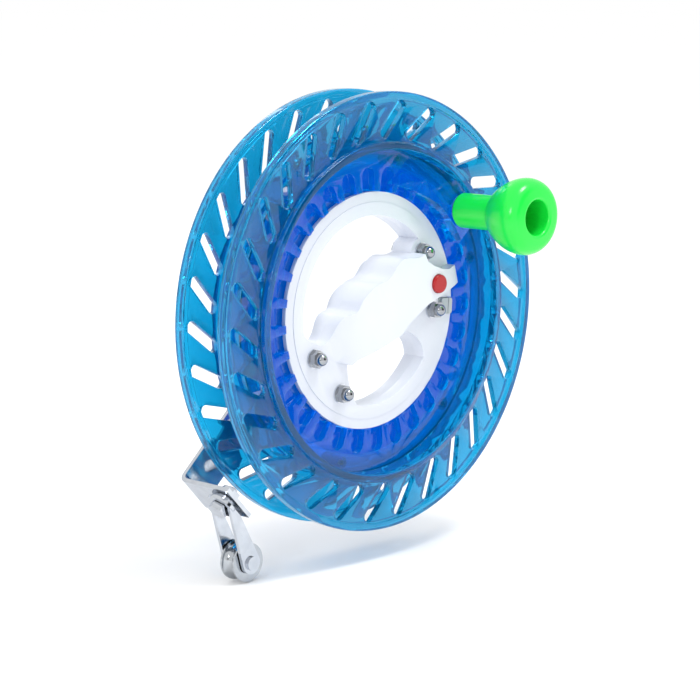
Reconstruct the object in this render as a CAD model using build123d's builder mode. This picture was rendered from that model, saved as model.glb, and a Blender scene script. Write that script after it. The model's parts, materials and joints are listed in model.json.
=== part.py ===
from build123d import *
import os
from math import cos, degrees, hypot, pi, radians, sin

os.makedirs("parts", exist_ok=True)

# Hand-held kite line reel.  The spool turns on four ball bearings about the Y axis.
# The crank side faces -Y, +X is to the right and +Z is up.  The origin is on the spool
# axis, midway between the two flanges.  A height h is a distance out from the split
# plane y = 0, towards the crank side unless a piece is mirrored.

# ---- handle disc ---------------------------------------------------------------------
disc_r = 54.3
disc_clearance = 0.5
bore_r = disc_r + disc_clearance
disc_face_h = 6.4
rim_step_r = 49.6
rim_step = 0.4

# ---- spool -------------------------------------------------------------------------
# The web runs from the bore to the drum, and the slotted flange from the drum to the rim.
web_width = 22.0
flange_width = 23.2
drum_r = bore_r + web_width
flange_r = drum_r + flange_width
drum_wall = 2.8
spool_half_width = 16.0
rim_width = 3.4
rim_depth = 5.0
rim_proud = 1.0
flange_face_h = spool_half_width - rim_proud
flange_t = 3.0
lip_width = 0.8
lip_proud = 2.6
lip_r = drum_r + lip_width
lip_h = flange_face_h + lip_proud
web_face_h = 7.0
web_t = 2.6
web_trough = 7.0
pocket_ring_r = drum_r - drum_wall - web_trough
slot_count = 30
slot_length = 21.0
slot_width = 5.5
slot_corner_r = 2.2
slot_inset = 12.7
slot_mid_r = flange_r - slot_inset
slot_lean = 40.0
slot_angle = 2.7
pocket_count = 30
pocket_width = 8.0
pocket_length = 10.9
pocket_end_r = bore_r + pocket_length
pocket_angle = -3.3
spool_edge_r = 0.8
ramp_clearance = 3.5
ramp_top_angle = 52.0
ramp_step_angle = 60.0
ramp_foot_angle = 72.0
ramp_step_h = 11.5
ramp_back_angle = 31.0
ramp_back_foot_angle = 29.0

# ---- rail that runs on the bearings ----------------------------------------------------
rail_half_h = 3.2
rail_gap = 0.7
bolt_circle_r = 41.0
bolt_angles = (36.0, -5.0, 205.5, 240.5)
bearing_r = 4.5
bearing_width = 4.0
running_gap = 0.3
rail_r = bolt_circle_r + bearing_r + running_gap
rail_seat = 2.7
rail_outer_r = bore_r + rail_seat
rail_fit = 0.05

# ---- handle covers ---------------------------------------------------------------------
rim_plate_h = rail_half_h + rail_gap
core_clearance = 0.5
core_r = rail_r - core_clearance
cover_wall = 1.7
cover_roof = 2.4
opening_r = core_r - cover_wall
ridge_h = 14.4
rear_ridge_h = 11.4
rear_ridge_inset = 3.0
boss_wall = 1.5
bearing_side_gap = 0.4

# ---- fasteners -----------------------------------------------------------------------
bolt_r = 2.0
bolt_hole_clearance = 0.1
nut_flats = 7.0
nut_h = 3.2
nut_dome_r = 2.9
nut_dome_h = 3.6
nut_thread_depth = 5.2
bolt_head_flats = 7.0
bolt_head_h = 2.8
bolt_tip_gap = 0.4
washer_r = 4.4
washer_t = 0.8
screw_count = 6
screw_circle_r = pocket_ring_r + web_trough / 2
screw_angle = 15.0
screw_r = 1.2
screw_head_r = 2.3
screw_head_h = 1.6
screw_length = 9.4
screw_boss_r = 2.9
screw_slot_width = 0.6

# ---- bearing internals ------------------------------------------------------------------
outer_race_r = 3.85
inner_race_r = 2.75
ball_count = 7
ball_gap = 0.05
ball_r = (outer_race_r - inner_race_r) / 2 - ball_gap
ball_circle_r = (outer_race_r + inner_race_r) / 2
bearing_fit = 0.05

# ---- crank knob ------------------------------------------------------------------------
knob_angle = 40.0
knob_boss_h = 15.5
knob_length = 45.5
knob_shank_r = 8.15
knob_shank_length = 20.0
knob_head_r = 17.6
knob_hole_r = 8.0
knob_hole_depth = 19.0
knob_step_r = 5.9
knob_floor = 12.0
knob_base_edge_r = 1.0
knob_mouth_width = 1.8
knob_mouth_depth = 1.2
knob_face_width = 5.0
knob_crown = 0.3
# Bell of the knob: inset from the head radius, and distance from the outer end.
knob_bell = [(1.6, 2.2), (0.0, 6.6), (0.7, 12.0), (3.4, 18.0)]
knob_neck_r = 10.55
knob_neck_length = 3.6
axle_r = 3.0
axle_fit = 0.06
axle_head_flats = 8.0
axle_head_h = 4.0
axle_washer_r = 5.5
axle_washer_t = 1.0
thrust_washer_r = 7.0
thrust_washer_gap = 0.5
knob_circle_r = drum_r - drum_wall - thrust_washer_r - thrust_washer_gap
thrust_washer_t = 0.6
knob_end_gap = 0.2
knob_side_gap = 0.5
axle_nut_flats = 10.0
axle_nut_h = 5.0
axle_tip = 1.0

# ---- brake button ----------------------------------------------------------------------
button_x = 36.5
button_z = 9.6
button_r = 4.3
button_proud = 1.6
button_travel = 2.2
button_gap = 0.25
stem_r = 2.0
stem_length = 3.0
button_edge_r = 0.7
spring_wire_r = 0.25
spring_r = 3.0
spring_turns = 4
spring_seat_t = 0.8
shoe_t = 1.6
shoe_width = 4.0
shoe_length = 14.0
shoe_tip_gap = 1.0
shoe_angle = 10.5
shoe_stop_gap = 0.3

# ---- lock slider -----------------------------------------------------------------------
lock_angle = pocket_angle
lock_width = 7.4
lock_inner_r = 45.2
lock_outer_r = 53.4
lock_tab_h = 7.6
lock_tab_inner_r = 46.2
lock_floor_gap = 0.1
lock_groove = 0.5
lock_groove_inset = 2.6
lock_corner_r = 1.2
lock_slot_overrun = 2.0
lock_travel = 6.0
lock_gap = 0.3
lock_wing = 1.0
lock_wing_t = 0.9
lock_wing_length = 1.4
lock_wing_h = rim_plate_h + 0.6

# ---- line guide ------------------------------------------------------------------------
guide_angle = 223.0
strip_width = 19.0
strip_t = 2.0
strip_bend_r = 3.5
foot_ear_r = 5.4
foot_corner_r = 0.5
foot_edge_inset = 4.0
strip_start_u = 38.0
joggle_start_u = disc_r - 4.3
joggle_length = 20.0
joggle_end_u = joggle_start_u + joggle_length
strip_clearance = 8.4
strip_y = lip_h + strip_clearance
guide_clearance = 12.0
guide_reach = flange_r + guide_clearance
leg_end_y = -5.0
swivel_y = 4.0
swivel_r = 2.5
swivel_fit = 0.06
swivel_nut_flats = 8.0
swivel_nut_h = 4.0
swivel_washer_r = 5.0
swivel_washer_t = 1.0
swivel_gap = 0.3
swivel_head_h = 3.0
swivel_tip = 1.0
fork_t = 1.6
fork_half_gap = 5.0
pulley_offset = 28.0
pulley_drop = 13.0
pulley_u = guide_reach + pulley_drop
pulley_r = 8.8
pulley_width = 8.8
pulley_groove_depth = 2.8
pulley_flat = 1.0
pulley_axle_r = 2.0
pulley_fit = 0.06
axle_cap_r = 3.2
axle_cap_t = 1.2
fork_tip_r = 5.0
cheek_corner_r = 1.0
fork_base_half = 7.0

# ---- line eye riveted to the drum --------------------------------------------------------
eye_angle = 115.0
eye_y = 9.2
eye_hole_r = 1.5
eye_wall = 1.0
eye_width = 4.6
eye_t = 3.0
eye_hole_up = 3.0
rivet_r = 1.2
rivet_fit = 0.05
rivet_head_r = 2.0
rivet_head_t = 0.8
rivet_head_gap = 0.05


def outward(h):
    """Plane parallel to the flanges at height h, seen from the crank side."""
    return Plane.XZ.offset(h)


def polar_point(radius, angle):
    return (radius * cos(radians(angle)), radius * sin(radians(angle)))


def local_plane(radius, angle, h):
    """Plane at a point of the disc: local x radial, local y tangential, normal outward."""
    x, z = polar_point(radius, angle)
    direction = (cos(radians(angle)), 0, sin(radians(angle)))
    return Plane(origin=(x, -h, z), x_dir=direction, z_dir=(0, -1, 0))


def eye_seat(radius):
    """Plane square to the drum's radius at the line eye, normal outward."""
    x, z = polar_point(radius, eye_angle)
    direction = (cos(radians(eye_angle)), 0, sin(radians(eye_angle)))
    return Plane(origin=(x, eye_y, z), x_dir=(0, 1, 0), z_dir=direction)


def save(builder, name):
    builder.part.label = name
    export_step(builder.part, f"parts/{name}.step")


bolt_places = [polar_point(bolt_circle_r, angle) for angle in bolt_angles]
eye_x, eye_z = polar_point(drum_r, eye_angle)
eye_section = Plane(
    origin=(eye_x, eye_y, eye_z),
    x_dir=(0, 1, 0),
    z_dir=(sin(radians(eye_angle)), 0, -cos(radians(eye_angle))),
)

# ---- outlines of the two hand openings ---------------------------------------------------
# The lower edge of the finger opening has four hollows for the fingers.
finger_edge = [
    (29.9, 26.1), (26.1, 23.6), (20.3, 22.9), (14.4, 23.2), (9.4, 20.7), (5.3, 16.1),
    (1.1, 14.0), (-3.9, 12.8), (-8.9, 9.8), (-13.1, 5.3), (-15.2, 1.7), (-19.7, 0.3),
    (-23.1, -2.3), (-25.2, -6.9), (-27.6, -10.8),
]
finger_arc_end = 43.5
finger_arc_start = 183.0
finger_end_point = (-35.0, -11.8)
palm_edge = [(-15.6, -23.0), (-13.2, -20.7), (11.9, -11.7), (24.0, -12.4), (31.6, -16.9)]
palm_arc_start = -36.0
palm_arc_end = -102.0
palm_end_point = (-14.4, -32.0)


def grown(points, grow):
    """The same open row of points moved by grow to its right-hand side."""
    moved = []
    for index, (x, z) in enumerate(points):
        x0, z0 = points[max(index - 1, 0)]
        x1, z1 = points[min(index + 1, len(points) - 1)]
        length = hypot(x1 - x0, z1 - z0)
        moved.append((x + grow * (z1 - z0) / length, z - grow * (x1 - x0) / length))
    return moved


def finger_outline(grow):
    """Finger opening: an arc about the axis, then the wavy edge back below it."""
    radius = opening_r + grow
    turn = degrees(grow / radius)
    start = polar_point(radius, finger_arc_end - turn)
    middle = polar_point(radius, (finger_arc_end + finger_arc_start) / 2)
    end = polar_point(radius, finger_arc_start + turn)
    lower = grown(list(reversed(finger_edge)), grow)
    x, z = finger_end_point
    with BuildSketch() as outline:
        with BuildLine():
            ThreePointArc(start, middle, end)
            Spline(end, (x, z - grow), *lower, start)
        make_face()
    return outline.sketch


def palm_outline(grow):
    """Palm opening: an arc about the axis and the grip's straight lower edge."""
    radius = opening_r + grow
    turn = degrees(grow / radius)
    start = polar_point(radius, palm_arc_start + turn)
    middle = polar_point(radius, (palm_arc_start + palm_arc_end) / 2)
    end = polar_point(radius, palm_arc_end - turn)
    upper = grown(palm_edge, -grow)
    x, z = palm_end_point
    with BuildSketch() as outline:
        with BuildLine():
            ThreePointArc(start, middle, end)
            Spline(end, (x - grow, z), upper[0])
            Line(upper[0], upper[1])
            Line(upper[1], upper[2])
            Spline(upper[2], upper[3], upper[4], start)
        make_face()
    return outline.sketch


# ---- spool halves ------------------------------------------------------------------------
half_profile = [
    (rail_outer_r, 0), (rail_outer_r, rail_half_h), (bore_r, rail_half_h), (bore_r, web_face_h),
    (drum_r - drum_wall, web_face_h), (drum_r - drum_wall, lip_h), (lip_r, lip_h),
    (lip_r, flange_face_h), (flange_r - rim_width, flange_face_h),
    (flange_r - rim_width, spool_half_width), (flange_r, spool_half_width),
    (flange_r, spool_half_width - rim_depth),
    (flange_r - rim_width, spool_half_width - rim_depth),
    (flange_r - rim_width, flange_face_h - flange_t), (drum_r, flange_face_h - flange_t),
    (drum_r, 0), (drum_r - drum_wall, 0), (drum_r - drum_wall, web_face_h - web_t),
    (pocket_ring_r, web_face_h - web_t), (pocket_ring_r, 0),
]

with BuildPart() as half_blank:
    with BuildSketch(Plane.XY):
        with BuildLine():
            Polyline(*[(r, -h) for r, h in half_profile], close=True)
        make_face()
    revolve(axis=Axis.Y)
    circles = half_blank.edges().filter_by(GeomType.CIRCLE)
    rim_edges = circles.filter_by(lambda edge: edge.radius > flange_r - rim_width / 2)
    lip_edges = circles.filter_by(lambda edge: edge.arc_center.Y < 0.01 - lip_h)
    fillet(rim_edges + lip_edges, radius=spool_edge_r)
    with BuildSketch(outward(flange_face_h)):
        with PolarLocations(slot_mid_r, slot_count, start_angle=slot_angle):
            RectangleRounded(slot_length, slot_width, slot_corner_r, rotation=-slot_lean)
    extrude(amount=-flange_t, mode=Mode.SUBTRACT)
    with BuildSketch(outward(web_face_h)):
        with PolarLocations(pocket_end_r - pocket_width / 2, pocket_count, start_angle=pocket_angle):
            Circle(pocket_width / 2)
        with PolarLocations(0, pocket_count, start_angle=pocket_angle):
            with Locations(((bore_r + pocket_end_r - pocket_width) / 2, 0)):
                Rectangle(pocket_end_r - bore_r, pocket_width)
    extrude(amount=rail_half_h - web_face_h, mode=Mode.SUBTRACT)
    with BuildSketch(outward(0)):
        with PolarLocations(screw_circle_r, screw_count, start_angle=screw_angle):
            Circle(screw_boss_r)
    extrude(amount=web_face_h - web_t)

# The boss under the crank knob rises out of the web as a two-step ramp.
boss_profile = [
    (ramp_foot_angle, web_face_h), (ramp_step_angle, ramp_step_h), (ramp_top_angle, knob_boss_h),
    (ramp_back_angle, knob_boss_h), (ramp_back_foot_angle, web_face_h),
]
boss_points = [
    (knob_circle_r * radians(angle - knob_angle), h) for angle, h in boss_profile
]
boss_plane = Plane(
    origin=(0, 0, 0),
    x_dir=(-sin(radians(knob_angle)), 0, cos(radians(knob_angle))),
    z_dir=(cos(radians(knob_angle)), 0, sin(radians(knob_angle))),
)
with BuildPart() as knob_ramp:
    with BuildSketch(outward(web_face_h - web_t / 2)):
        Circle(drum_r - drum_wall / 2)
        Circle(bore_r + ramp_clearance, mode=Mode.SUBTRACT)
    extrude(amount=knob_boss_h)
    with BuildSketch(boss_plane):
        with BuildLine():
            low = web_face_h - web_t / 2
            Polyline(
                (boss_points[0][0], low), *boss_points, (boss_points[-1][0], low), close=True
            )
        make_face()
    extrude(amount=flange_r, mode=Mode.INTERSECT)

axle_x, axle_z = polar_point(knob_circle_r, knob_angle)
with BuildPart() as front_flange:
    add(half_blank.part)
    add(knob_ramp.part)
    with BuildSketch(outward(knob_boss_h)):
        with Locations((axle_x, axle_z)):
            Circle(axle_r + axle_fit)
    extrude(amount=-2 * knob_boss_h, mode=Mode.SUBTRACT)
    with BuildSketch(outward(knob_boss_h)):
        with Locations((axle_x, axle_z)):
            Circle(knob_shank_r + knob_side_gap)
    extrude(amount=knob_boss_h, mode=Mode.SUBTRACT)
    with BuildSketch(outward(0)):
        with PolarLocations(screw_circle_r, screw_count, start_angle=screw_angle):
            Circle(screw_r)
    extrude(amount=screw_length - (web_face_h - screw_head_h), mode=Mode.SUBTRACT)
save(front_flange, "front_flange")

with BuildPart() as rear_flange:
    add(mirror(half_blank.part, about=Plane.XZ))
    with BuildSketch(outward(0)):
        with Locations((axle_x, axle_z)):
            Circle(axle_r + axle_fit)
    extrude(amount=-web_face_h, mode=Mode.SUBTRACT)
    with BuildSketch(outward(-web_face_h)):
        with PolarLocations(screw_circle_r, screw_count, start_angle=screw_angle):
            Circle(screw_head_r + bolt_hole_clearance)
    extrude(amount=screw_head_h, mode=Mode.SUBTRACT)
    with BuildSketch(outward(-web_face_h)):
        with PolarLocations(screw_circle_r, screw_count, start_angle=screw_angle):
            Circle(screw_r + bolt_hole_clearance)
    extrude(amount=web_face_h, mode=Mode.SUBTRACT)
    with BuildSketch(eye_seat(drum_r - drum_wall / 2)):
        Circle(rivet_r + rivet_fit)
    extrude(amount=drum_wall, both=True, mode=Mode.SUBTRACT)
save(rear_flange, "rear_flange")

with BuildPart() as bearing_rail:
    with BuildSketch(outward(0)):
        Circle(rail_outer_r - rail_fit)
        Circle(rail_r, mode=Mode.SUBTRACT)
    extrude(amount=rail_half_h, both=True)
save(bearing_rail, "bearing_rail")

# The end of the line is tied through this eye, which stands in the groove on the drum.
with BuildPart() as line_eye:
    with BuildSketch(eye_section):
        with Locations((0, eye_hole_up)):
            Circle(eye_hole_r + eye_wall)
        with Locations((0, eye_wall / 2)):
            Rectangle(eye_width, eye_wall)
        make_hull()
    extrude(amount=eye_t / 2, both=True)
    with BuildSketch(eye_section):
        with Locations((0, eye_hole_up)):
            Circle(eye_hole_r)
    extrude(amount=eye_t, both=True, mode=Mode.SUBTRACT)
    with BuildSketch(eye_seat(drum_r)):
        Circle(rivet_r)
    extrude(amount=-(drum_wall + rivet_head_t / 2))
    with BuildSketch(eye_seat(drum_r - drum_wall - rivet_head_gap)):
        Circle(rivet_head_r)
    extrude(amount=-rivet_head_t)
save(line_eye, "line_eye")

with BuildPart() as spool_screws:
    with BuildSketch(outward(-web_face_h)):
        with PolarLocations(screw_circle_r, screw_count, start_angle=screw_angle):
            Circle(screw_head_r)
    extrude(amount=screw_head_h)
    with BuildSketch(outward(screw_head_h - web_face_h)):
        with PolarLocations(screw_circle_r, screw_count, start_angle=screw_angle):
            Circle(screw_r)
    extrude(amount=screw_length)
    with BuildSketch(outward(-web_face_h)):
        with PolarLocations(screw_circle_r, screw_count, start_angle=screw_angle):
            Rectangle(2 * screw_r, screw_slot_width)
            Rectangle(screw_slot_width, 2 * screw_r)
    extrude(amount=screw_head_h / 2, mode=Mode.SUBTRACT)
save(spool_screws, "spool_screws")

# ---- crank knob --------------------------------------------------------------------------
washer_top_h = knob_boss_h + thrust_washer_t
knob_base_h = washer_top_h + knob_end_gap
head_seat_h = knob_base_h + knob_floor + knob_end_gap + axle_washer_t
neck_s = knob_shank_length
bell_points = [(knob_head_r - inset, -(knob_length - back)) for inset, back in knob_bell]
with BuildPart() as knob:
    with BuildSketch(Plane(origin=(axle_x, -knob_base_h, axle_z), x_dir=(1, 0, 0), z_dir=(0, 0, 1))):
        with BuildLine():
            shank = Polyline(
                (knob_shank_r, -neck_s), (knob_shank_r, 0), (axle_r + axle_fit, 0),
                (axle_r + axle_fit, -knob_floor), (knob_step_r, -knob_floor),
                (knob_step_r, -(knob_length - knob_hole_depth)),
                (knob_hole_r, -(knob_length - knob_hole_depth)),
                (knob_hole_r, -(knob_length - knob_mouth_depth)),
            )
            lip_in = ThreePointArc(
                shank @ 1,
                (knob_hole_r + knob_mouth_width - cos(pi / 4) * knob_mouth_width,
                 -(knob_length - knob_crown)),
                (knob_hole_r + knob_mouth_width, -knob_length),
            )
            face = Line(lip_in @ 1, (knob_head_r - knob_face_width, -(knob_length - knob_crown)))
            Spline(
                face @ 1, *bell_points, (knob_neck_r, -(neck_s + knob_neck_length)), shank @ 0,
                tangents=[(1, 0.12), (-0.25, 1)],
            )
        make_face()
    revolve(axis=Axis((axle_x, 0, axle_z), (0, 1, 0)))
    base_edges = knob.faces().sort_by(Axis.Y)[-1].edges()
    fillet(base_edges.sort_by(SortBy.RADIUS)[-1], radius=knob_base_edge_r)
save(knob, "knob")

with BuildPart() as knob_axle:
    with BuildSketch(outward(head_seat_h)):
        with Locations((axle_x, axle_z)):
            RegularPolygon(axle_head_flats / 2, 6, major_radius=False)
    extrude(amount=axle_head_h)
    with BuildSketch(outward(head_seat_h)):
        with Locations((axle_x, axle_z)):
            Circle(axle_r)
    extrude(amount=-(head_seat_h + web_face_h + axle_nut_h + axle_tip))
save(knob_axle, "knob_axle")

with BuildPart() as knob_washers:
    with BuildSketch(outward(knob_boss_h)):
        with Locations((axle_x, axle_z)):
            Circle(thrust_washer_r)
            Circle(axle_r + axle_fit, mode=Mode.SUBTRACT)
    extrude(amount=thrust_washer_t)
    with BuildSketch(outward(head_seat_h)):
        with Locations((axle_x, axle_z)):
            Circle(axle_washer_r)
            Circle(axle_r + axle_fit, mode=Mode.SUBTRACT)
    extrude(amount=-axle_washer_t)
save(knob_washers, "knob_washers")

with BuildPart() as knob_nut:
    with BuildSketch(outward(-web_face_h)):
        with Locations((axle_x, axle_z)):
            RegularPolygon(axle_nut_flats / 2, 6, major_radius=False)
            Circle(axle_r, mode=Mode.SUBTRACT)
    extrude(amount=-axle_nut_h)
save(knob_nut, "knob_nut")

# ---- handle covers -----------------------------------------------------------------------
# The grip is a ridge across the disc; its height follows a side profile along the grip.
ridge_angle = 17.0
ridge_outline = [
    (-33.0, -12.5), (-24.0, -20.5), (-15.6, -23.0), (-13.2, -20.7), (11.9, -11.7), (17.3, -6.9),
    (29.8, 0.6), (41.0, 4.6), (53.6, 8.2), (51.6, 16.6), (46.0, 15.4), (40.0, 16.0),
    (33.5, 18.2), (29.5, 20.4), (27.0, 25.0), (14.0, 27.0), (-14.0, 13.0), (-30.0, -2.0),
]
ridge_side = [(-37.0, 0), (-30.0, 0.18), (-20.0, 0.62), (-8.0, 0.93), (8.0, 1.0), (30.0, 1.0),
              (41.5, 0.97), (48.0, 0.84), (56.0, 0.58)]
side_plane = Plane(
    origin=(0, 0, 0),
    x_dir=(cos(radians(ridge_angle)), 0, sin(radians(ridge_angle))),
    z_dir=(sin(radians(ridge_angle)), 0, -cos(radians(ridge_angle))),
)


def ridge_solid(height, base, inset, opening_inset):
    """Grip ridge: its inset outline raised to height, cut to the side profile."""
    with BuildPart() as ridge:
        with BuildSketch(outward(base)):
            with BuildLine():
                Polyline(*ridge_outline, close=True)
            make_face()
            if inset > 0:
                offset(amount=-inset, kind=Kind.INTERSECTION, mode=Mode.REPLACE)
            if opening_inset > 0:
                add(finger_outline(opening_inset), mode=Mode.SUBTRACT)
                add(palm_outline(opening_inset), mode=Mode.SUBTRACT)
        extrude(amount=height - base)
        with BuildSketch(side_plane):
            with BuildLine():
                top = Spline(*[(u, base + share * (height - base)) for u, share in ridge_side])
                Polyline(top @ 1, (ridge_side[-1][0], base - 1), (ridge_side[0][0], base - 1), top @ 0)
            make_face()
        extrude(amount=flange_r, both=True, mode=Mode.INTERSECT)
    return ridge.part


front_ridge = ridge_solid(ridge_h, rim_plate_h, 0, 0)
rear_ridge = ridge_solid(rear_ridge_h, rim_plate_h, rear_ridge_inset, rear_ridge_inset)
front_hollow = ridge_solid(ridge_h - cover_roof, 0, cover_wall, cover_wall)
rear_hollow_inset = cover_wall + rear_ridge_inset
rear_hollow = ridge_solid(rear_ridge_h - cover_roof, 0, rear_hollow_inset, rear_hollow_inset)


def cover_blank(ridge):
    """Disc, rim plate and grip ridge with both hand openings, solid inside."""
    with BuildPart() as blank:
        with BuildSketch(outward(0)):
            Circle(core_r)
        extrude(amount=disc_face_h - rim_step)
        with BuildSketch(outward(rim_plate_h)):
            Circle(disc_r)
        extrude(amount=disc_face_h - rim_step - rim_plate_h)
        with BuildSketch(outward(disc_face_h - rim_step)):
            Circle(rim_step_r)
        extrude(amount=rim_step)
        add(ridge)
        with BuildSketch(outward(0)):
            add(finger_outline(0))
            add(palm_outline(0))
        extrude(amount=ridge_h + 1, mode=Mode.SUBTRACT)
    return blank.part


def hollowed(blank, ridge_space):
    """Cover with its inside hollowed, bearing pockets cut and bolt holes drilled."""
    roof_h = disc_face_h - cover_roof
    pocket_r = bearing_r + bearing_side_gap
    with BuildPart() as space:
        with BuildSketch(outward(0)):
            Circle(core_r - cover_wall)
        extrude(amount=roof_h)
        add(ridge_space)
        with BuildSketch(outward(0)):
            add(finger_outline(cover_wall))
            add(palm_outline(cover_wall))
            with Locations(*bolt_places):
                Circle(pocket_r + boss_wall)
        extrude(amount=ridge_h, mode=Mode.SUBTRACT)
    with BuildPart() as cover:
        add(blank)
        with BuildSketch(outward(0)):
            with Locations(*bolt_places):
                Circle(pocket_r + boss_wall)
        extrude(amount=disc_face_h - rim_step)
        add(space.part, mode=Mode.SUBTRACT)
        with BuildSketch(outward(0)):
            Circle(disc_r + 1)
            Circle(core_r, mode=Mode.SUBTRACT)
        extrude(amount=rim_plate_h, mode=Mode.SUBTRACT)
        with BuildSketch(outward(0)):
            with Locations(*bolt_places):
                Circle(pocket_r)
        extrude(amount=bearing_width / 2 + bearing_side_gap, mode=Mode.SUBTRACT)
        with BuildSketch(outward(bearing_width / 2)):
            with Locations(*bolt_places):
                Circle(inner_race_r)
        extrude(amount=cover_roof)
        with BuildSketch(outward(0)):
            with Locations(*bolt_places):
                Circle(bolt_r + bolt_hole_clearance)
        extrude(amount=ridge_h, mode=Mode.SUBTRACT)
    return cover.part



def shoe_plane(h):
    """Plane at the button's axis, local x along the brake shoe."""
    direction = (cos(radians(shoe_angle)), 0, sin(radians(shoe_angle)))
    return Plane(origin=(button_x, -h, button_z), x_dir=direction, z_dir=(0, -1, 0))


with BuildPart() as front_cover:
    add(hollowed(cover_blank(front_ridge), front_hollow))
    with BuildSketch(outward(0)):
        with Locations((button_x, button_z)):
            Circle(button_r + button_gap + cover_wall)
    extrude(amount=ridge_h - cover_roof)
    with BuildSketch(outward(0)):
        Circle(flange_r)
        Circle(core_r, mode=Mode.SUBTRACT)
    extrude(amount=rim_plate_h, mode=Mode.SUBTRACT)
    with BuildSketch(outward(spring_seat_t)):
        with Locations((button_x, button_z)):
            Circle(button_r + button_gap)
    extrude(amount=ridge_h + 1, mode=Mode.SUBTRACT)
    with BuildSketch(shoe_plane(rail_half_h)):
        with Locations((shoe_length / 2, 0)):
            Rectangle(shoe_length, shoe_width + 2 * button_gap)
    extrude(amount=shoe_stop_gap + button_travel + shoe_t + button_gap, mode=Mode.SUBTRACT)
    with BuildSketch(local_plane(0, lock_angle, 0)):
        with Locations(((lock_inner_r - lock_gap + disc_r) / 2 + lock_slot_overrun, 0)):
            Rectangle(disc_r - lock_inner_r + lock_gap + 2 * lock_slot_overrun, lock_width + 2 * lock_gap)
    extrude(amount=ridge_h, mode=Mode.SUBTRACT)
    groove_end = lock_inner_r + lock_wing_length + lock_travel + lock_gap
    with BuildSketch(local_plane(0, lock_angle, lock_wing_h)):
        with Locations(((lock_inner_r - lock_gap + groove_end) / 2, 0)):
            Rectangle(groove_end - lock_inner_r + lock_gap, lock_width + 2 * lock_wing + 2 * lock_gap)
    extrude(amount=lock_wing_t + lock_gap, mode=Mode.SUBTRACT)
save(front_cover, "handle_front_cover")

with BuildPart() as rear_cover:
    add(mirror(hollowed(cover_blank(rear_ridge), rear_hollow), about=Plane.XZ))
save(rear_cover, "handle_rear_cover")

# ---- through bolts, washers and acorn nuts --------------------------------------------
nut_seat_h = disc_face_h + washer_t
foot_h = disc_face_h + strip_t
bolt_end_h = nut_seat_h + nut_thread_depth - bolt_tip_gap
head_seats = (disc_face_h, disc_face_h, foot_h, foot_h)

with BuildPart() as through_bolts:
    for place, seat in zip(bolt_places, head_seats):
        with BuildSketch(outward(-seat)):
            with Locations(place):
                RegularPolygon(bolt_head_flats / 2, 6, major_radius=False)
        extrude(amount=-bolt_head_h)
        with BuildSketch(outward(-seat)):
            with Locations(place):
                Circle(bolt_r)
        extrude(amount=seat + bolt_end_h)
save(through_bolts, "through_bolts")

with BuildPart() as bolt_washers:
    with BuildSketch(outward(disc_face_h)):
        with Locations(*bolt_places):
            Circle(washer_r)
            Circle(bolt_r + bolt_hole_clearance, mode=Mode.SUBTRACT)
    extrude(amount=washer_t)
save(bolt_washers, "bolt_washers")

with BuildPart() as acorn_nuts:
    for (x, z), angle in zip(bolt_places, bolt_angles):
        with BuildSketch(outward(nut_seat_h)):
            with Locations((x, z)):
                RegularPolygon(nut_flats / 2, 6, major_radius=False, rotation=angle)
        extrude(amount=nut_h)
        with BuildSketch(Plane(origin=(x, -(nut_seat_h + nut_h), z), x_dir=(1, 0, 0), z_dir=(0, 0, 1))):
            with BuildLine():
                Polyline((0, 0), (nut_dome_r, 0), (nut_dome_r, -(nut_dome_h - nut_dome_r)))
                ThreePointArc(
                    (nut_dome_r, -(nut_dome_h - nut_dome_r)),
                    (nut_dome_r * cos(pi / 4), -(nut_dome_h - nut_dome_r * (1 - sin(pi / 4)))),
                    (0, -nut_dome_h),
                )
                Line((0, -nut_dome_h), (0, 0))
            make_face()
        revolve(axis=Axis((x, 0, z), (0, 1, 0)))
    with BuildSketch(outward(nut_seat_h)):
        with Locations(*bolt_places):
            Circle(bolt_r)
    extrude(amount=nut_thread_depth, mode=Mode.SUBTRACT)
save(acorn_nuts, "acorn_nuts")

# ---- ball bearings on the through bolts --------------------------------------------------
for number, place in enumerate(bolt_places, start=1):
    with BuildPart() as outer_ring:
        with BuildSketch(outward(-bearing_width / 2)):
            with Locations(place):
                Circle(bearing_r)
                Circle(outer_race_r, mode=Mode.SUBTRACT)
        extrude(amount=bearing_width)
    save(outer_ring, f"bearing_outer_ring_{number}")
    x, z = place
    ball_places = [
        (
            x + ball_circle_r * cos(2 * pi * k / ball_count),
            0,
            z + ball_circle_r * sin(2 * pi * k / ball_count),
        )
        for k in range(ball_count)
    ]
    with BuildPart() as ball_set:
        with Locations(*ball_places):
            Sphere(ball_r)
    save(ball_set, f"bearing_balls_{number}")

with BuildPart() as inner_rings:
    with BuildSketch(outward(-bearing_width / 2)):
        with Locations(*bolt_places):
            Circle(inner_race_r)
            Circle(bolt_r + bearing_fit, mode=Mode.SUBTRACT)
    extrude(amount=bearing_width)
save(inner_rings, "bearing_inner_rings")

# ---- brake button, its spring and the shoe over the rail --------------------------------
button_top_h = ridge_h + button_proud
shoe_low_h = rail_half_h + shoe_stop_gap + button_travel
button_base_h = shoe_low_h + shoe_t
with BuildPart() as red_button:
    with BuildSketch(outward(button_base_h + stem_length)):
        with Locations((button_x, button_z)):
            Circle(button_r)
    extrude(amount=button_top_h - button_base_h - stem_length)
    fillet(red_button.faces().sort_by(Axis.Y)[0].edges(), radius=button_edge_r)
    with BuildSketch(outward(button_base_h)):
        with Locations((button_x, button_z)):
            Circle(stem_r)
    extrude(amount=stem_length)
save(red_button, "red_button")

with BuildPart() as brake_shoe:
    with BuildSketch(shoe_plane(shoe_low_h)):
        Circle(spring_r + spring_wire_r)
        with Locations(((shoe_length - shoe_tip_gap) / 2, 0)):
            Rectangle(shoe_length - shoe_tip_gap, shoe_width)
    extrude(amount=shoe_t)
save(brake_shoe, "brake_shoe")

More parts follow.
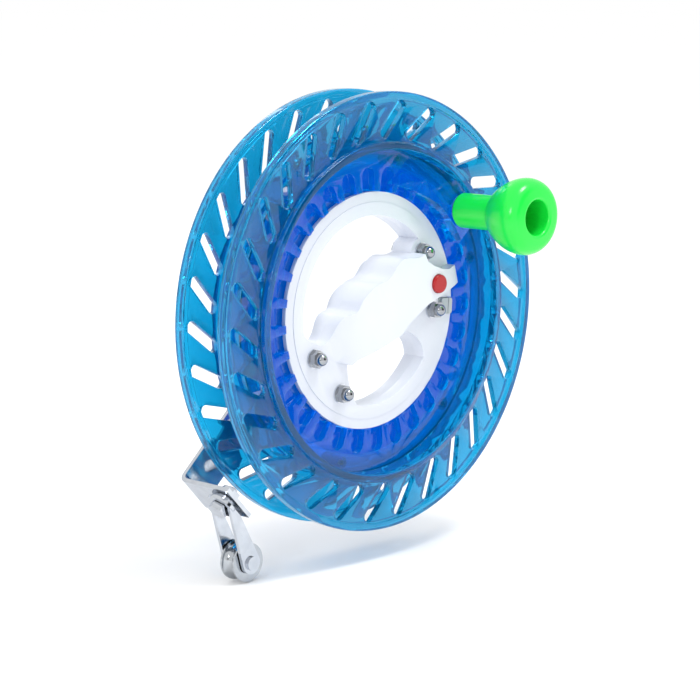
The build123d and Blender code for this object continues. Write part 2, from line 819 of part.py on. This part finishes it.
spring_height = shoe_low_h - spring_seat_t - 2 * spring_wire_r
with BuildPart() as button_spring:
    with BuildLine():
        coil = Helix(
            pitch=spring_height / spring_turns, height=spring_height, radius=spring_r,
            center=(button_x, -(spring_seat_t + spring_wire_r), button_z), direction=(0, -1, 0),
        )
    with BuildSketch(Plane(origin=coil @ 0, z_dir=coil % 0)):
        Circle(spring_wire_r)
    sweep(path=coil, is_frenet=True)
save(button_spring, "button_spring")

# ---- lock slider -------------------------------------------------------------------------
slider_mid_r = (lock_inner_r + lock_outer_r) / 2
with BuildPart() as lock_slider:
    with BuildSketch(local_plane(0, lock_angle, rim_plate_h + lock_floor_gap)):
        with Locations((slider_mid_r, 0)):
            Rectangle(lock_outer_r - lock_inner_r, lock_width)
    extrude(amount=disc_face_h - rim_plate_h - lock_floor_gap)
    with BuildSketch(local_plane(0, lock_angle, disc_face_h)):
        with Locations(((lock_tab_inner_r + lock_outer_r) / 2, 0)):
            RectangleRounded(lock_outer_r - lock_tab_inner_r, lock_width, lock_corner_r)
    extrude(amount=lock_tab_h - disc_face_h)
    with BuildSketch(local_plane(0, lock_angle, lock_tab_h)):
        with Locations((lock_outer_r - lock_groove_inset, 0)):
            Rectangle(lock_groove, lock_width)
    extrude(amount=-lock_groove, mode=Mode.SUBTRACT)
    with BuildSketch(local_plane(0, lock_angle, lock_wing_h + lock_gap / 2)):
        with Locations((lock_inner_r + lock_wing_length / 2, 0)):
            Rectangle(lock_wing_length, lock_width + 2 * lock_wing)
    extrude(amount=lock_wing_t)
save(lock_slider, "lock_slider")

# ---- line guide bracket ----------------------------------------------------------------
# u runs outward along the guide's direction, v across the strip.
guide_out = (cos(radians(guide_angle)), 0, sin(radians(guide_angle)))
guide_across = (-sin(radians(guide_angle)), 0, cos(radians(guide_angle)))
strip_plane = Plane(origin=(0, 0, 0), x_dir=guide_out, z_dir=guide_across)


def guide_point(u, y, v):
    return (u * guide_out[0] + v * guide_across[0], y, u * guide_out[2] + v * guide_across[2])


def guide_facing(u, y, v):
    """Plane square to the guide's direction, normal outward, local x across the strip."""
    return Plane(origin=guide_point(u, y, v), x_dir=guide_across, z_dir=guide_out)


foot_mid_y = disc_face_h + strip_t / 2
strip_path = [
    (strip_start_u, foot_mid_y), (joggle_start_u, foot_mid_y), (joggle_end_u, strip_y),
    (guide_reach, strip_y), (guide_reach, leg_end_y),
]
with BuildPart() as guide_bracket:
    with BuildLine(strip_plane) as strip_line:
        FilletPolyline(*strip_path, radius=strip_bend_r)
    with BuildSketch(Plane(origin=strip_line.line @ 0, x_dir=guide_across, z_dir=guide_out)):
        Rectangle(strip_width, strip_t)
    sweep(path=strip_line.line)
    with BuildSketch(outward(-disc_face_h)):
        for x, z in bolt_places[2:]:
            with Locations((x, z)):
                Circle(foot_ear_r)
        for v in (foot_corner_r - strip_width / 2, strip_width / 2 - foot_corner_r):
            x, y, z = guide_point(joggle_start_u - foot_edge_inset, 0, v)
            with Locations((x, z)):
                Circle(foot_corner_r)
        make_hull()
    extrude(amount=-strip_t)
    with BuildSketch(outward(-disc_face_h)):
        with Locations(*bolt_places[2:]):
            Circle(bolt_r + bolt_hole_clearance)
    extrude(amount=-strip_t, mode=Mode.SUBTRACT)
    with BuildSketch(guide_facing(guide_reach - strip_t, swivel_y, 0)):
        Circle(swivel_r + bolt_hole_clearance)
    extrude(amount=2 * strip_t, mode=Mode.SUBTRACT)
save(guide_bracket, "guide_bracket")

# ---- swivel and fork -----------------------------------------------------------------
leg_inner_u = guide_reach - strip_t / 2
leg_outer_u = guide_reach + strip_t / 2
fork_base_u = leg_outer_u + swivel_washer_t + swivel_gap
head_seat_u = fork_base_u + fork_t + swivel_gap
with BuildPart() as swivel_bolt:
    with BuildSketch(guide_facing(head_seat_u, swivel_y, 0)):
        RegularPolygon(swivel_nut_flats / 2, 6, major_radius=False)
    extrude(amount=swivel_head_h)
    with BuildSketch(guide_facing(head_seat_u, swivel_y, 0)):
        Circle(swivel_r)
    extrude(amount=-(head_seat_u - leg_inner_u + swivel_nut_h + swivel_tip))
save(swivel_bolt, "swivel_bolt")

with BuildPart() as swivel_nut:
    with BuildSketch(guide_facing(leg_inner_u, swivel_y, 0)):
        RegularPolygon(swivel_nut_flats / 2, 6, major_radius=False)
        Circle(swivel_r, mode=Mode.SUBTRACT)
    extrude(amount=-swivel_nut_h)
save(swivel_nut, "swivel_nut")

with BuildPart() as swivel_washer:
    with BuildSketch(guide_facing(leg_outer_u, swivel_y, 0)):
        Circle(swivel_washer_r)
        Circle(swivel_r + bolt_hole_clearance, mode=Mode.SUBTRACT)
    extrude(amount=swivel_washer_t)
save(swivel_washer, "swivel_washer")

# The fork is a bent steel stirrup: a base on the swivel bolt and two cheeks.
fork_half_width = fork_half_gap + fork_t
with BuildPart() as guide_fork:
    with BuildSketch(guide_facing(fork_base_u, swivel_y, 0)):
        Circle(fork_base_half)
        with Locations((fork_base_half / 2, 0)):
            Rectangle(fork_base_half, 2 * fork_half_width)
    extrude(amount=fork_t)
    for side in (-1, 1):
        inner_y = swivel_y + side * fork_half_gap
        cheek_plane = Plane(
            origin=guide_point(0, inner_y, 0), x_dir=guide_out, z_dir=(0, side, 0)
        )
        with BuildSketch(cheek_plane):
            with Locations((pulley_u, -side * pulley_offset)):
                Circle(fork_tip_r)
            with Locations((fork_base_u + cheek_corner_r, -side * fork_base_half)):
                Circle(cheek_corner_r)
            with Locations((fork_base_u + cheek_corner_r, 0)):
                Circle(cheek_corner_r)
            make_hull()
        extrude(amount=fork_t)
    with BuildSketch(guide_facing(fork_base_u, swivel_y, 0)):
        Circle(swivel_r + swivel_fit)
    extrude(amount=fork_t, mode=Mode.SUBTRACT)
    with BuildSketch(Plane(origin=guide_point(pulley_u, 0, pulley_offset), x_dir=(1, 0, 0), z_dir=(0, 1, 0))):
        Circle(pulley_axle_r)
    extrude(amount=flange_r, both=True, mode=Mode.SUBTRACT)
save(guide_fork, "guide_fork")


def pulley_plane(y):
    return Plane(origin=guide_point(pulley_u, y, pulley_offset), x_dir=guide_out, z_dir=(0, 1, 0))


cheek_out = swivel_y + fork_half_width
cheek_in = swivel_y - fork_half_width
with BuildPart() as pulley_axle:
    with BuildSketch(pulley_plane(cheek_in)):
        Circle(pulley_axle_r)
    extrude(amount=2 * fork_half_width)
    with BuildSketch(pulley_plane(cheek_in)):
        Circle(axle_cap_r)
    extrude(amount=-axle_cap_t)
    with BuildSketch(pulley_plane(cheek_out)):
        Circle(axle_cap_r)
    extrude(amount=axle_cap_t)
save(pulley_axle, "pulley_axle")

px, py, pz = guide_point(pulley_u, swivel_y, pulley_offset)
with BuildPart() as guide_pulley:
    with BuildSketch(Plane(origin=(px, py, pz), x_dir=(1, 0, 0), z_dir=(0, 0, 1))):
        half = pulley_width / 2
        groove_r = pulley_r - pulley_groove_depth
        with BuildLine():
            Polyline((pulley_r, half - pulley_flat), (pulley_r, half), (pulley_axle_r + pulley_fit, half),
                     (pulley_axle_r + pulley_fit, -half), (pulley_r, -half),
                     (pulley_r, pulley_flat - half))
            ThreePointArc((pulley_r, pulley_flat - half), (groove_r, 0), (pulley_r, half - pulley_flat))
        make_face()
    revolve(axis=Axis((px, 0, pz), (0, 1, 0)))
save(guide_pulley, "guide_pulley")
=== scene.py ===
"""Kite line reel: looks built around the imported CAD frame.

Lengths are in metres.  The spool turns about the Y axis; the crank side faces -Y.
"""

import json
from math import cos, radians, sin

import bmesh
import bpy
from mathutils import Matrix, Vector


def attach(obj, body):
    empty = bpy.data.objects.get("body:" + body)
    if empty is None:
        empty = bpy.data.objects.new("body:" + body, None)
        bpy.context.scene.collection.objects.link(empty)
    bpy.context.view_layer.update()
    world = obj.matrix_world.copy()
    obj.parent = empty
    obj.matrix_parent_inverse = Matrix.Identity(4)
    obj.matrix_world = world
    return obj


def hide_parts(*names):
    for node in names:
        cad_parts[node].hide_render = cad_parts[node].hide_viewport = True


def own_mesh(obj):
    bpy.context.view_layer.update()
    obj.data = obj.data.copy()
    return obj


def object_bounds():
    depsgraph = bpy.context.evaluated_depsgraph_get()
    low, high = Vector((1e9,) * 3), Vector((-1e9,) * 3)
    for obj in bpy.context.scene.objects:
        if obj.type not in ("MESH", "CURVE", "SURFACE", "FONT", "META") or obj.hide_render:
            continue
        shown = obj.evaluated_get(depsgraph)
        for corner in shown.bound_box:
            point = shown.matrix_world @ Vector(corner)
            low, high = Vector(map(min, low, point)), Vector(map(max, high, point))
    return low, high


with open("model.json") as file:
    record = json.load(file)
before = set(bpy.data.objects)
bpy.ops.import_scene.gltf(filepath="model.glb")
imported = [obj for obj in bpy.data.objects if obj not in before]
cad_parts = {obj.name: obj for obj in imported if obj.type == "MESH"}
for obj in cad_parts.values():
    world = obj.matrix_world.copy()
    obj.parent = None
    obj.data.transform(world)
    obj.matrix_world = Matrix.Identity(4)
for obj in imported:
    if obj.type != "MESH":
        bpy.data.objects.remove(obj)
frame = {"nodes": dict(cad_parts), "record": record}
cad_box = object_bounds()
nodes = frame["nodes"]
mm = 0.001

# ---- camera --------------------------------------------------------------------------
# A long lens, a little above the axis and half turned round to the crank side.
azimuth, elevation = radians(-45.65), radians(9.45)
distance = 1.155
shift_right, shift_up = -5.2 * mm, -18.6 * mm
back = Vector((sin(azimuth) * cos(elevation), -cos(azimuth) * cos(elevation), sin(elevation)))
right = Vector((cos(azimuth), sin(azimuth), 0.0))
up = back.cross(right)
place = back * distance + right * shift_right + up * shift_up
camera_data = bpy.data.cameras.new("camera")
camera_data.lens = 130.0
camera_data.sensor_width = 36.0
camera_data.clip_end = 20.0
camera = bpy.data.objects.new("camera", camera_data)
turn = Matrix((right, up, back)).transposed().to_4x4()
camera.matrix_world = Matrix.Translation(place) @ turn
bpy.context.scene.collection.objects.link(camera)
bpy.context.scene.camera = camera

# ---- paper sweep, sky and lamps --------------------------------------------------------
# A sheet of white paper under a white tent.  Three softboxes give the plastic its highlights,
# and two black cards beside the camera give the plated parts something dark to mirror.
bpy.context.scene.view_settings.view_transform = "Standard"


def linear(code):
    """sRGB hex colour to a linear RGBA tuple."""
    shares = [int(code[i:i + 2], 16) / 255 for i in (1, 3, 5)]
    return tuple(
        c / 12.92 if c <= 0.04045 else ((c + 0.055) / 1.055) ** 2.4 for c in shares
    ) + (1.0,)


def node(tree, kind, links=None, values=None, **settings):
    """Adds a node: settings are its own, values and links go to its inputs by name or number."""
    made = tree.nodes.new(kind)
    for name, value in settings.items():
        setattr(made, name, value)
    for name, value in (values or {}).items():
        made.inputs[name].default_value = value
    for name, output in (links or {}).items():
        tree.links.new(output, made.inputs[name])
    return made


def new_material(name):
    """An empty material and its node tree."""
    made = bpy.data.materials.new(name)
    made.use_nodes = True
    made.node_tree.nodes.clear()
    return made, made.node_tree


def card(name, corner, across, along, finish):
    """A flat sheet from a corner and its two sides."""
    corner, across, along = Vector(corner), Vector(across), Vector(along)
    mesh = bpy.data.meshes.new(name)
    corners = [corner, corner + across, corner + across + along, corner + along]
    mesh.from_pydata(corners, [], [(0, 1, 2, 3)])
    mesh.materials.append(finish)
    sheet = bpy.data.objects.new(name, mesh)
    bpy.context.scene.collection.objects.link(sheet)
    return sheet


paper, tree = new_material("white paper")
shader = node(tree, "ShaderNodeBsdfDiffuse", values={"Color": linear("#ffffff")})
node(tree, "ShaderNodeOutputMaterial", links={"Surface": shader.outputs[0]})
paper_side, paper_drop = 12, 0.5 * mm
card(
    "paper_sweep", (-paper_side / 2, -paper_side / 2, cad_box[0].z - paper_drop),
    (paper_side, 0, 0), (0, paper_side, 0), paper,
)

# The cards only show as reflections, so they throw no shade on the paper.
black_card, tree = new_material("black card")
shader = node(tree, "ShaderNodeBsdfDiffuse", values={"Color": linear("#10131a")})
node(tree, "ShaderNodeOutputMaterial", links={"Surface": shader.outputs[0]})
for name, corner, across, along in (
    ("card_right", (0.10, -1.3, -0.05), (0.7, 0.35, 0), (0, 0, 0.8)),
    ("card_left", (-1.35, -0.35, -0.05), (0.12, -0.55, 0), (0, 0, 0.8)),
):
    dark_card = card(name, corner, across, along, black_card)
    dark_card.visible_camera = False
    dark_card.visible_shadow = False
    dark_card.visible_diffuse = False

world = bpy.data.worlds.new("white tent")
world.use_nodes = True
tent = world.node_tree.nodes["Background"].inputs
tent["Color"].default_value = linear("#ffffff")
tent["Strength"].default_value = 1.0
bpy.context.scene.world = world


def softbox(name, place, size, power):
    """A square lamp that faces the reel."""
    data = bpy.data.lights.new(name, "AREA")
    data.size = size
    data.energy = power
    lamp = bpy.data.objects.new(name, data)
    lamp.rotation_mode = "QUATERNION"
    lamp.location = place
    lamp.rotation_quaternion = Vector(place).to_track_quat("Z", "Y")
    bpy.context.scene.collection.objects.link(lamp)


softbox("top_softbox", (0.2, -0.5, 1.3), 0.4, 9.0)
softbox("left_softbox", (-1.3, -0.6, 0.5), 0.25, 4.0)
softbox("back_softbox", (0.4, 1.2, 0.7), 0.5, 2.0)

# ---- spool halves and bearing rail -------------------------------------------------------
# Two halves injection moulded in clear blue polystyrene, joined by six screws from behind,
# with the bearing rail clamped between them.  Moulded edges carry a small radius.
body_of = {
    name: body for body, names in frame["record"]["behaviour"]["bodies"].items() for name in names
}


weld = 0.002 * mm
flat_angle, sharp_angle = radians(0.5), radians(35)


def moulded(name, edge_radius, steps):
    """A copy of a CAD node, its loose triangles joined and its sharp edges rounded."""
    mesh = nodes[name].data.copy()
    work = bmesh.new()
    work.from_mesh(mesh)
    bmesh.ops.remove_doubles(work, verts=work.verts, dist=weld)
    bmesh.ops.dissolve_limit(work, angle_limit=flat_angle, verts=work.verts, edges=work.edges)
    for face in work.faces:
        face.smooth = True
    work.to_mesh(mesh)
    work.free()
    piece = bpy.data.objects.new(name + "_moulded", mesh)
    bpy.context.scene.collection.objects.link(piece)
    bevel = piece.modifiers.new("edge radius", "BEVEL")
    bevel.width = edge_radius
    bevel.segments = steps
    bevel.limit_method = "ANGLE"
    bevel.angle_limit = sharp_angle
    bevel.harden_normals = True
    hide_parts(name)
    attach(piece, body_of[name])
    return piece


def paint(piece, finish):
    """Gives a piece its one finish."""
    piece.data.materials.clear()
    piece.data.materials.append(finish)


# Clear polystyrene: glassy, tinted cyan where thin, and deep blue where the hub doubles up.
# Flow lines from moulding, about 9 mm apart, soften the gloss a little.  The thick hub
# carries light round inside it, which a painted glow of its own colour stands for: it is
# strongest inside 66 mm and faint beyond 80 mm.
hub_r, rim_r = 45 * mm, 100 * mm
glow_inner_r, glow_outer_r = 66 * mm, 80 * mm
blue, tree = new_material("clear blue polystyrene with painted glow")
where = node(tree, "ShaderNodeTexCoord")
flat = node(
    tree, "ShaderNodeVectorMath", operation="MULTIPLY",
    links={0: where.outputs["Object"]}, values={1: (1.0, 0.0, 1.0)},
)
radius = node(tree, "ShaderNodeVectorMath", operation="LENGTH", links={0: flat.outputs[0]})
share = node(tree, "ShaderNodeMapRange", links={"Value": radius.outputs["Value"]},
             values={"From Min": hub_r, "From Max": rim_r})
tint = node(tree, "ShaderNodeValToRGB", links={"Fac": share.outputs[0]})
ramp = tint.color_ramp
ramp.elements[0].position, ramp.elements[0].color = 0.0, linear("#0084dc")
ramp.elements[1].position, ramp.elements[1].color = 1.0, linear("#1ea6d8")
for position, code in ((0.20, "#0088e4"), (0.38, "#008ce6"), (0.50, "#0688cc"), (0.62, "#0a8cc0")):
    ramp.elements.new(position).color = linear(code)
flow = node(tree, "ShaderNodeTexNoise", links={"Vector": where.outputs["Object"]},
            values={"Scale": 1 / (9 * mm), "Detail": 2.0})
gloss = node(tree, "ShaderNodeMapRange", links={"Value": flow.outputs[0]},
             values={"To Min": 0.02, "To Max": 0.10})
ripple = node(tree, "ShaderNodeBump", links={"Height": flow.outputs[0]},
              values={"Strength": 0.25, "Distance": 0.15 * mm})
# Painted glow: emission in the plastic's own tint, stronger towards the hub.
painted_glow = node(tree, "ShaderNodeMapRange", links={"Value": radius.outputs["Value"]},
            values={"From Min": glow_inner_r, "From Max": glow_outer_r,
                    "To Min": 0.12, "To Max": 0.02})
shader = node(
    tree, "ShaderNodeBsdfPrincipled",
    links={"Base Color": tint.outputs[0], "Roughness": gloss.outputs[0],
           "Normal": ripple.outputs[0], "Emission Color": tint.outputs[0],
           "Emission Strength": painted_glow.outputs[0]},
    values={"IOR": 1.45, "Transmission Weight": 0.88},
)
node(tree, "ShaderNodeOutputMaterial", links={"Surface": shader.outputs[0]})

# Each rounded edge carries a painted highlight: a lighter cyan surface with a pale cyan glow,
# patchy over about 14 mm, standing for light gathered inside the clear plastic that leaves at its
# corners.
painted_edge_highlight, tree = new_material("clear blue polystyrene painted edge highlight")
where = node(tree, "ShaderNodeTexCoord")
patch = node(tree, "ShaderNodeTexNoise", links={"Vector": where.outputs["Object"]},
             values={"Scale": 1 / (14 * mm), "Detail": 2.0})
strength = node(tree, "ShaderNodeMapRange", links={"Value": patch.outputs[0]},
                values={"From Min": 0.42, "From Max": 0.68, "To Min": 0.08, "To Max": 1.6})
shader = node(
    tree, "ShaderNodeBsdfPrincipled", links={"Emission Strength": strength.outputs[0]},
    values={"Base Color": linear("#4fd0f6"), "Roughness": 0.06, "IOR": 1.45,
            "Transmission Weight": 0.6, "Emission Color": linear("#9fecff")},
)
node(tree, "ShaderNodeOutputMaterial", links={"Surface": shader.outputs[0]})
flange_edge, flange_edge_steps = 0.45 * mm, 2
for name in ("front_flange", "rear_flange"):
    half = moulded(name, flange_edge, flange_edge_steps)
    paint(half, blue)
    # The bevel faces take the painted edge highlight.
    half.data.materials.append(painted_edge_highlight)
    half.modifiers["edge radius"].material = 1
paint(nodes["bearing_rail"], blue)

# ---- spool screws and line eye -----------------------------------------------------------
# Six self-tapping screws from the rear hold the halves together.  The eye that the line is
# first tied to is pressed from strip and riveted to the drum.  All are zinc plated.


def plated_steel(name, colour, worn, shine, dull, scratch):
    """Plated steel: polishing scratches stretched along Z, and a slightly duller cloud."""
    made, tree = new_material(name)
    where = node(tree, "ShaderNodeTexCoord")
    stretched = node(tree, "ShaderNodeMapping", links={"Vector": where.outputs["Object"]},
                     values={"Scale": (1.0, 1.0, 0.08)})
    lines = node(tree, "ShaderNodeTexNoise", links={"Vector": stretched.outputs[0]},
                 values={"Scale": 1 / scratch, "Detail": 3.0})
    cloud = node(tree, "ShaderNodeTexNoise", links={"Vector": where.outputs["Object"]},
                 values={"Scale": 1 / (4 * mm), "Detail": 2.0})
    tone = node(tree, "ShaderNodeMix", data_type="RGBA", links={0: cloud.outputs[0]},
                values={6: linear(worn), 7: linear(colour)})
    gloss = node(tree, "ShaderNodeMapRange", links={"Value": lines.outputs[0]},
                 values={"To Min": shine, "To Max": dull})
    bump = node(tree, "ShaderNodeBump", links={"Height": lines.outputs[0]},
                values={"Strength": 0.15, "Distance": 0.01 * mm})
    shader = node(
        tree, "ShaderNodeBsdfPrincipled",
        links={"Base Color": tone.outputs[2], "Roughness": gloss.outputs[0],
               "Normal": bump.outputs[0]},
        values={"Metallic": 1.0},
    )
    node(tree, "ShaderNodeOutputMaterial", links={"Surface": shader.outputs[0]})
    return made


# Bright zinc is a soft grey with blurred highlights, because the coat is thin and unpolished.
zinc = plated_steel("zinc plated steel", "#b8bcc0", "#9ba0a6", 0.24, 0.42, 0.4 * mm)
for name in ("spool_screws", "line_eye"):
    paint(nodes[name], zinc)

# ---- ball bearings -----------------------------------------------------------------------
# Four small bearings on the through bolts: outer rings, balls, and one inner ring on each bolt.
# Ground bearing steel mirrors its surroundings a little softly.
ground = plated_steel("bearing steel ground", "#b2b6ba", "#a0a5aa", 0.14, 0.28, 0.2 * mm)
for count in range(1, 5):
    paint(nodes[f"bearing_outer_ring_{count}"], ground)
    paint(nodes[f"bearing_balls_{count}"], ground)
paint(nodes["bearing_inner_rings"], ground)

# ---- handle covers -----------------------------------------------------------------------
# Two covers injection moulded in white ABS and clamped by the four through bolts.


def moulded_abs(name, colour, shaded, dull, shine, grain_depth):
    """Opaque ABS: pigment drifts over 25 mm, and mould grain of 0.5 mm breaks the gloss."""
    made, tree = new_material(name)
    where = node(tree, "ShaderNodeTexCoord")
    drift = node(tree, "ShaderNodeTexNoise", links={"Vector": where.outputs["Object"]},
                 values={"Scale": 1 / (25 * mm), "Detail": 2.0})
    pigment = node(tree, "ShaderNodeMix", data_type="RGBA", links={0: drift.outputs[0]},
                   values={6: linear(shaded), 7: linear(colour)})
    grain = node(tree, "ShaderNodeTexNoise", links={"Vector": where.outputs["Object"]},
                 values={"Scale": 1 / (0.5 * mm), "Detail": 3.0})
    gloss = node(tree, "ShaderNodeMapRange", links={"Value": grain.outputs[0]},
                 values={"To Min": shine, "To Max": dull})
    bump = node(tree, "ShaderNodeBump", links={"Height": grain.outputs[0]},
                values={"Strength": grain_depth, "Distance": 0.02 * mm})
    shader = node(
        tree, "ShaderNodeBsdfPrincipled",
        links={"Base Color": pigment.outputs[2], "Roughness": gloss.outputs[0],
               "Normal": bump.outputs[0]},
        values={"IOR": 1.53},
    )
    node(tree, "ShaderNodeOutputMaterial", links={"Surface": shader.outputs[0]})
    return made


# White ABS: soft broad highlights and cool grey shade in the hollows.
white = moulded_abs("white ABS moulded", "#dde1ea", "#d3d8e3", 0.42, 0.22, 0.3)
cover_edge, cover_edge_steps = 1.2 * mm, 4
for name in ("handle_front_cover", "handle_rear_cover"):
    paint(moulded(name, cover_edge, cover_edge_steps), white)

# ---- through bolts, washers and acorn nuts -------------------------------------------------
# Four bolts clamp the covers together, each under a washer and an acorn nut on the crank side.
# Polished chrome has sharp, nearly white reflections.
chrome = plated_steel("chrome plated steel polished", "#d4d8de", "#b9bec6", 0.06, 0.2, 0.3 * mm)
for name in ("through_bolts", "bolt_washers"):
    paint(nodes[name], chrome)
# The acorn nuts are polished chrome given a darker colour, a painted dark reflection, so they
# read as near black with small highlights.
chrome_painted_darker = plated_steel("chrome plated steel painted darker", "#b4b7bb", "#8e9197", 0.04, 0.14, 0.3 * mm)
paint(nodes["acorn_nuts"], chrome_painted_darker)

# ---- brake button, shoe and lock slider --------------------------------------------------
# A red ABS button in the front cover, the light grey acetal shoe on its stem, and the acetal
# slider that locks the spool.  Acetal is waxy, so it is duller than the ABS.
red = moulded_abs("red ABS moulded", "#b40a10", "#980a10", 0.36, 0.2, 0.3)
paint(nodes["red_button"], red)
grey = moulded_abs("grey acetal moulded", "#b4bcc0", "#a8b0b6", 0.5, 0.34, 0.3)
for name in ("lock_slider", "brake_shoe"):
    paint(nodes[name], grey)

# ---- button spring -----------------------------------------------------------------------
# Coils of hard drawn wire under the brake shoe; the whole coil rides with the handle.
# Drawn wire is dark grey with a dull shine.
drawn = plated_steel("spring steel drawn", "#85888c", "#707479", 0.22, 0.36, 0.2 * mm)
coil = bpy.data.objects.new("button_spring_coil", nodes["button_spring"].data.copy())
bpy.context.scene.collection.objects.link(coil)
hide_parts("button_spring")
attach(coil, "handle")
paint(coil, drawn)
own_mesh(coil)

# ---- crank knob and its axle -------------------------------------------------------------
# A bell moulded in green ABS, free on a zinc plated steel axle that is nutted to the spool.
# The green is glossy, with small sharp highlights on the bell.
green = moulded_abs("green ABS moulded", "#1ce64a", "#12d83e", 0.30, 0.14, 0.2)
paint(nodes["knob"], green)
for name in ("knob_axle", "knob_washers", "knob_nut"):
    paint(nodes[name], zinc)

# ---- guide bracket and swivel ------------------------------------------------------------
# A bent strip of chrome plated steel under two of the bolt heads.  The fork hangs from it on a
# plated bolt, with a round washer and a nut.
for name in ("guide_bracket", "swivel_bolt", "swivel_nut", "swivel_washer"):
    paint(nodes[name], chrome)

# ---- guide fork and pulley ---------------------------------------------------------------
# A plated fork with a riveted axle, and the grooved steel pulley that the line runs over.
# The pulley is turned, so its highlights are softer than those of the plated fork.
turned = plated_steel("pulley steel turned", "#c4c8cc", "#a9aeb4", 0.12, 0.26, 0.3 * mm)
for name in ("guide_fork", "pulley_axle"):
    paint(nodes[name], chrome)
paint(nodes["guide_pulley"], turned)
